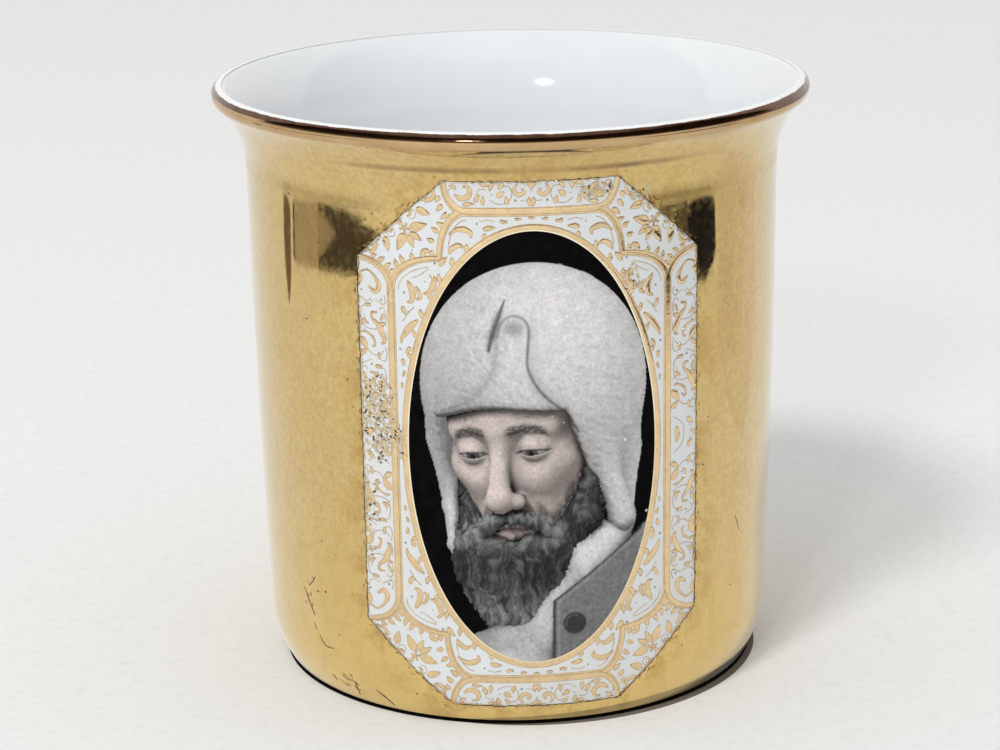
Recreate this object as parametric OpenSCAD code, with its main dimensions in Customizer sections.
// Small porcelain coffee cup without a handle, gilded outside, with an eight-sided printed panel on its front.
// The cup stands on its foot ring at z = 0, its axis is Z, and the panel faces -Y.

/* [Cup] */
// Diameter over the gilded lip
rim_d = 65; // [62:0.5:72]
// Height from the foot to the top of the gilded lip
cup_h = 65; // [63:0.5:72]
// How much smaller the glazed wall's radius is where the lower turn begins than under the lip
wall_taper = 0.9; // [0:0.1:2]
// How far the wall swells beyond a straight line at mid height
wall_swell = 0.2; // [0:0.05:0.6]
// Thickness of the glazed wall
wall_t = 2.3; // [2:0.1:3]
// Height of the inside floor above the table
floor_z = 4.6; // [4:0.1:6]
// Radius of the inside corner between wall and floor
inner_turn_r = 9; // [6:0.5:11]

/* [Lip] */
// Radius of the arc that turns the lip outward
flare_r = 9.4; // [7:0.2:12]
// Angle that the lip turns through
flare_angle = 48; // [35:1:55]
// Thickness of the glazed lip
lip_t = 1.75; // [1.4:0.05:2.2]
// How far past its outermost point the lip's gilding runs, towards the inside
band_angle = 96; // [60:1:110]

/* [Foot] */
// Radius of the turn from the wall to the underside
turn_r = 11.7; // [9:0.1:13]
// How far the turn's lower edge stands above the table
edge_z = 0.5; // [0.4:0.05:0.8]
// How far the turn carries on below its widest point
turn_drop = 6; // [5:0.1:7]
// How far the foot ring stands in from the wall's lower turn
foot_inset = 2.6; // [2.2:0.1:5]
// Width of the foot ring's bare face
foot_w = 1.9; // [1.4:0.1:3]
// Depth of the recess inside the foot ring
recess_h = 1.7; // [1.4:0.1:2]
// Radius between the recess and the foot ring
recess_fillet_r = 1.2; // [0.8:0.1:1.3]
// Height and width of the foot ring's small chamfers
foot_chamfer = 0.25; // [0.1:0.05:0.3]

/* [Films] */
// Thickness of the glaze
glaze_t = 0.3; // [0.2:0.01:0.4]
// Thickness of the gilding and of the printed panel
film_t = 0.15; // [0.1:0.01:0.2]

/* [Panel] */
// Width of the panel, measured round the wall
panel_w = 37.6; // [34:0.2:42]
// Height left bare of the panel under the lip's top
panel_top_gap = 5.3; // [5:0.1:9]
// Height left bare of the panel above the table
panel_base_gap = 2.5; // [2:0.1:6]
// Width that each cut corner takes from the panel
corner_w = 9.9; // [8:0.1:11]
// Height that each cut corner takes from the panel
corner_h = 8.7; // [7:0.1:10]
// Width of the gold line round the oval picture
oval_line_w = 0.7; // [0.5:0.05:0.9]
// Gap between that line and the side straps
oval_side_gap = 0.5; // [0.3:0.1:3]
// Gap between that line and the top and bottom straps
oval_end_gap = 0.9; // [0.3:0.1:3]

/* [Straps] */
// Width of the gold straps
strap_w = 0.8; // [0.5:0.05:0.9]
// Distance from the panel's side edges to the middles of the side straps
strap_side_inset = 4; // [3:0.1:5]
// Distance from the panel's top and bottom edges to the middles of the end straps
strap_end_inset = 3.3; // [2.8:0.1:5]
// Distance along an end strap from its fork to the panel's corner
end_fork_reach = 2.3; // [1:0.1:4]
// Distance along a side strap from its fork to the panel's corner
side_fork_reach = 3; // [1:0.1:5]
// Distance outward from the panel's corner to the point where two inner branches meet, across
cusp_out_x = 0.5; // [0:0.1:1.5]
// The same distance, upright
cusp_out_z = 0.5; // [0:0.1:1.5]

/* [Scrolls] */
// Width of the gold scroll lines
scroll_w = 0.34; // [0.2:0.02:0.5]
// Radius of a scroll's outer turn in the panel's borders
scroll_r = 1.15; // [0.8:0.05:1.2]
// Distance from one scroll to the next along a border
scroll_pitch = 3.3; // [3.2:0.1:5]
// Length of the gold leaves in the cut corners
leaf_l = 2.9; // [2:0.1:3.2]
// Width of the gold leaves in the cut corners
leaf_w = 1.1; // [0.6:0.1:1.3]

/* [Hidden] */

$fn = 96;
// Points along each curved stretch of the section
turn_steps = 7;
wall_steps = 5;
flare_steps = 6;
lip_steps = 8;
// Points along the oval, a strap's branch and a scroll
oval_steps = 64;
branch_steps = 7;
curl_steps = 12;
// Extra reach of the shapes that cut through a film
overrun = 1;

// Section of the glazed cup, with radius across and height up
waist_r = rim_d / 2 - film_t - (flare_r + lip_t / 2) * (1 - cos(flare_angle));
waist_z = cup_h - film_t - flare_r * sin(flare_angle) - lip_t / 2 * (1 + sin(flare_angle));
base_r = waist_r - wall_taper;
base_z = edge_z + turn_drop;
turn_c = [base_r - turn_r, base_z];
turn_end = asin(turn_drop / turn_r);
flare_c = [waist_r + flare_r, waist_z];
lip_c = flare_c + (flare_r + lip_t / 2) * [-cos(flare_angle), sin(flare_angle)];
inner_turn_z = floor_z + inner_turn_r;
inner_turn_share = (inner_turn_z - base_z) / (waist_z - base_z);
inner_turn_c = [wall_at(inner_turn_share)[0] - wall_t - inner_turn_r, inner_turn_z];
foot_r = base_r - foot_inset;
recess_r = foot_r - foot_w - glaze_t;
recess_c = [recess_r - recess_fillet_r, recess_h - recess_fillet_r];

// The panel is laid out flat and then wrapped round the wall at its mean radius
wrap_r = (waist_r + base_r) / 2 + wall_swell;
panel_h = cup_h - panel_top_gap - panel_base_gap;
panel_z = panel_base_gap + panel_h / 2;
panel_corner = [panel_w / 2 - corner_w, panel_h / 2 - corner_h];
strap_x = panel_w / 2 - strap_side_inset;
strap_z = panel_h / 2 - strap_end_inset;
fork_x = panel_corner[0] - end_fork_reach;
fork_z = panel_corner[1] - side_fork_reach;
cusp_x = panel_corner[0] + cusp_out_x;
cusp_z = panel_corner[1] + cusp_out_z;
oval_line_r = [strap_x - strap_w / 2 - oval_side_gap, strap_z - strap_w / 2 - oval_end_gap];
oval_r = [oval_line_r[0] - oval_line_w, oval_line_r[1] - oval_line_w];
// The spiral's inner radius as a share of its outer one, and its turn
curl_in_share = 0.34;
curl_sweep = 400;

// A point of the wall's glazed face, u = 0 where the lower turn ends and u = 1 where the flare begins
function wall_at(u) = [base_r + (waist_r - base_r) * u + wall_swell * sin(180 * u), base_z + (waist_z - base_z) * u];
// The outward direction of the wall's face there
function wall_out(u) =
    let (run = waist_z - base_z, lean = waist_r - base_r + wall_swell * PI * cos(180 * u))
    [run, -lean] / norm([run, lean]);

// The outer face at a depth below the glaze's surface, from the lower edge up to the lip
function turn_face(depth) = [for (i = [0:turn_steps]) let (a = turn_end * (1 - i / turn_steps))
    turn_c + (turn_r - depth) * [cos(a), -sin(a)]];
function wall_face(depth) = [for (i = [1:wall_steps - 1]) wall_at(i / wall_steps) - depth * wall_out(i / wall_steps)];
function flare_face(depth) = [for (i = [0:flare_steps]) let (a = flare_angle * i / flare_steps)
    flare_c + (flare_r + depth) * [-cos(a), sin(a)]];
function outer_face(depth) = concat(turn_face(depth), wall_face(depth), flare_face(depth));

// The round of the lip between two angles, counted up from its outermost point
function lip_face(depth, from, to) = [for (i = [0:lip_steps]) let (a = from + (to - from) * i / lip_steps)
    lip_c + (lip_t / 2 - depth) * [cos(a), sin(a)]];

// The inner face at a depth below the glaze's surface, from the lip down to the middle of the floor
function inner_flare_face(depth) = [for (i = [flare_steps - 1:-1:0])
    let (a = flare_angle * i / flare_steps, t = wall_t + (lip_t - wall_t) * i / flare_steps)
    flare_c + (flare_r + t - depth) * [-cos(a), sin(a)]];
function inner_wall_face(depth) = [for (i = [wall_steps - 1:-1:1])
    let (u = inner_turn_share + (1 - inner_turn_share) * i / wall_steps)
    wall_at(u) - (wall_t - depth) * wall_out(u)];
function inner_turn_face(depth) = [for (i = [0:turn_steps]) let (a = 90 * i / turn_steps)
    inner_turn_c + (inner_turn_r + depth) * [cos(a), -sin(a)]];
function inner_face(depth) = concat(inner_flare_face(depth), inner_wall_face(depth), inner_turn_face(depth),
    [[0, floor_z - depth]]);

// The recess under the base at a depth above its glazed face, from the middle to the foot ring
function recess_face(depth) = concat([[0, recess_h + depth]], [for (i = [0:turn_steps]) let (a = 90 * (1 - i / turn_steps))
    recess_c + (recess_fillet_r + depth) * [cos(a), sin(a)]]);

function reversed(points) = [for (i = [len(points) - 1:-1:0]) points[i]];

// A point of the flat layout, u across and v up from the panel's middle, seen from the front after wrapping
function wrapped(p) = [wrap_r * sin(p[0] / wrap_r * 180 / PI), panel_z + p[1]];

// Points of an oval arc round a centre
function oval_arc(centre, radii, from, to, steps) = [for (i = [0:steps]) let (a = from + (to - from) * i / steps)
    centre + [radii[0] * cos(a), radii[1] * sin(a)]];

// Points of a spiral that tightens as it turns
function curl(centre, radius, from, sweep) = [for (i = [0:curl_steps])
    let (a = from + sweep * i / curl_steps, r = radius * (1 - (1 - curl_in_share) * i / curl_steps))
    centre + r * [cos(a), sin(a)]];

// The direction to the left of a path at one of its points
function left_of(path, i) =
    let (d = path[min(i + 1, len(path) - 1)] - path[max(i - 1, 0)]) [-d[1], d[0]] / norm(d);

// A line of even width along a path of the flat layout
module line_along(path, width) {
    left = [for (i = [0:len(path) - 1]) path[i] + width / 2 * left_of(path, i)];
    right = [for (i = [0:len(path) - 1]) path[i] - width / 2 * left_of(path, i)];
    polygon([for (p = concat(left, reversed(right))) wrapped(p)]);
}

// A pointed leaf from its root towards an angle
module leaf(root, angle) {
    along = [cos(angle), sin(angle)];
    across = [-sin(angle), cos(angle)];
    side = [for (i = [0:branch_steps]) let (s = i / branch_steps) [s * leaf_l, leaf_w / 2 * sin(180 * sqrt(s))]];
    polygon([for (p = concat(side, [for (q = reversed(side)) [q[0], -q[1]]])) wrapped(root + p[0] * along + p[1] * across)]);
}

// A film of the gilding's thickness over the whole outer face
module film() {
    rotate_extrude() polygon(concat(outer_face(-film_t), reversed(outer_face(0))));
}

// The part of the film that lies behind a flat outline on the front
module printed() {
    intersection() {
        film();
        front_prism() children();
    }
}

module front_prism() {
    rotate([90, 0, 0]) linear_extrude(height = rim_d / 2 + overrun) children();
}

module panel_outline() {
    x = [panel_corner[0], panel_w / 2];
    z = [panel_corner[1], panel_h / 2];
    corners = [[x[0], z[1]], [x[1], z[0]], [x[1], -z[0]], [x[0], -z[1]], [-x[0], -z[1]], [-x[1], -z[0]], [-x[1], z[0]],
        [-x[0], z[1]]];
    polygon([for (p = corners) wrapped(p)]);
}

module oval_outline(radii) {
    polygon([for (i = [0:oval_steps - 1]) let (a = 360 * i / oval_steps) wrapped([radii[0] * cos(a), radii[1] * sin(a)])]);
}

// The straps' outline: one straight strap on each side, whose ends fork to the corners and to the cusps
module strap_outline() {
    for (s = [-1, 1]) {
        line_along([[-fork_x, s * strap_z], [fork_x, s * strap_z]], strap_w);
        line_along([[s * strap_x, -fork_z], [s * strap_x, fork_z]], strap_w);
    }
    for (sx = [-1, 1], sz = [-1, 1]) {
        flip = [[sx, 0], [0, sz]];
        line_along([for (p = oval_arc([fork_x, panel_h / 2], [panel_corner[0] - fork_x, panel_h / 2 - strap_z],
            -90, 0, branch_steps)) flip * p], strap_w);
        line_along([for (p = oval_arc([fork_x, cusp_z], [cusp_x - fork_x, strap_z - cusp_z],
            90, 0, branch_steps)) flip * p], strap_w);
        line_along([for (p = oval_arc([panel_w / 2, fork_z], [panel_w / 2 - strap_x, panel_corner[1] - fork_z],
            180, 90, branch_steps)) flip * p], strap_w);
        line_along([for (p = oval_arc([cusp_x, fork_z], [strap_x - cusp_x, cusp_z - fork_z],
            0, 90, branch_steps)) flip * p], strap_w);
    }
}

// The fired clay, with its foot ring and the recess under the base
module porcelain_body() {
    ring_in = recess_r + glaze_t;
    color("whitesmoke") rotate_extrude() polygon(concat(
        outer_face(glaze_t),
        lip_face(glaze_t, -flare_angle, band_angle),
        lip_face(glaze_t, band_angle, 180 - flare_angle),
        inner_face(glaze_t),
        recess_face(glaze_t),
        [[ring_in, foot_chamfer], [ring_in + foot_chamfer, 0], [foot_r - foot_chamfer, 0], [foot_r, foot_chamfer],
            [foot_r, outer_face(glaze_t)[0][1]]]));
}

// White glaze over the inside, from the top of the lip to the floor
module inner_glaze() {
    color("aliceblue") rotate_extrude() polygon(concat(
        lip_face(0, band_angle, 180 - flare_angle), inner_face(0),
        reversed(inner_face(glaze_t)), reversed(lip_face(glaze_t, band_angle, 180 - flare_angle))));
}

// Glaze over the outside, from the lower edge to the top of the lip
module outer_glaze() {
    color("aliceblue") rotate_extrude() polygon(concat(
        outer_face(0), lip_face(0, -flare_angle, band_angle),
        reversed(lip_face(glaze_t, -flare_angle, band_angle)), reversed(outer_face(glaze_t))));
}

// Glaze in the recess, which stops where the foot ring's bare clay begins
module base_glaze() {
    color("aliceblue") rotate_extrude() polygon(concat(recess_face(0), reversed(recess_face(glaze_t))));
}

// Bright gold over the outer wall, with the panel's window
module gold_coat() {
    color("goldenrod") difference() {
        film();
        front_prism() panel_outline();
    }
}

// Copper-toned gold banding over the round of the lip
module lip_band() {
    color("peru") rotate_extrude() polygon(concat(
        lip_face(-film_t, -flare_angle, band_angle), reversed(lip_face(0, -flare_angle, band_angle))));
}

// The oval picture in the middle of the panel
module portrait_print() {
    color("dimgray") printed() oval_outline(oval_r);
}

module oval_gold_line() {
    color("burlywood") printed() difference() {
        oval_outline(oval_line_r);
        oval_outline(oval_r);
    }
}

module gold_straps() {
    color("burlywood") printed() intersection() {
        strap_outline();
        panel_outline();
    }
}

// Scrolls in the borders between the straps and the panel's edge, turned to and fro
module border_scrolls() {
    side_x = (strap_x + strap_w / 2 + panel_w / 2) / 2;
    end_z = (strap_z + strap_w / 2 + panel_h / 2) / 2;
    color("wheat") printed() {
        side_count = floor((fork_z - scroll_r) / scroll_pitch);
        for (s = [-1, 1], i = [-side_count:side_count])
            line_along(curl([s * side_x, i * scroll_pitch], scroll_r, 90 + 180 * abs(i % 2), curl_sweep), scroll_w);
        end_count = floor((fork_x - scroll_r) / scroll_pitch);
        for (s = [-1, 1], i = [-end_count:end_count])
            line_along(curl([i * scroll_pitch, s * end_z], scroll_r, 180 * abs(i % 2), curl_sweep), scroll_w);
    }
}

// One scroll in each spandrel on both sides of the cusp, midway between the oval line and the strap
module spandrel_scrolls() {
    color("wheat") printed() for (sx = [-1, 1], sz = [-1, 1]) {
        flip = [[sx, 0], [0, sz]];
        side_v = fork_z - scroll_r / 2;
        side_line = oval_line_r[0] * sqrt(1 - pow(side_v / oval_line_r[1], 2));
        side_c = [(side_line + strap_x - strap_w / 2) / 2, side_v];
        end_u = fork_x - scroll_r / 3;
        end_line = oval_line_r[1] * sqrt(1 - pow(end_u / oval_line_r[0], 2));
        end_c = [end_u, (end_line + strap_z - strap_w / 2) / 2];
        line_along([for (p = curl(side_c, scroll_r, 90, curl_sweep)) flip * p], scroll_w);
        line_along([for (p = curl(end_c, scroll_r, 180, -curl_sweep)) flip * p], scroll_w);
    }
}

// Three gold leaves in each cut corner, spread from the cusp
module corner_leaves() {
    root = [(cusp_x + panel_corner[0] + corner_w / 2) / 2, (cusp_z + panel_corner[1] + corner_h / 2) / 2];
    middle = atan2(corner_w, corner_h);
    color("wheat") printed() for (sx = [-1, 1], sz = [-1, 1], turn = [-70, 0, 70]) {
        angle = middle + turn;
        leaf([sx * root[0], sz * root[1]], atan2(sz * sin(angle), sx * cos(angle)));
    }
}

porcelain_body();
inner_glaze();
outer_glaze();
base_glaze();
gold_coat();
lip_band();
portrait_print();
oval_gold_line();
gold_straps();
border_scrolls();
spandrel_scrolls();
corner_leaves();
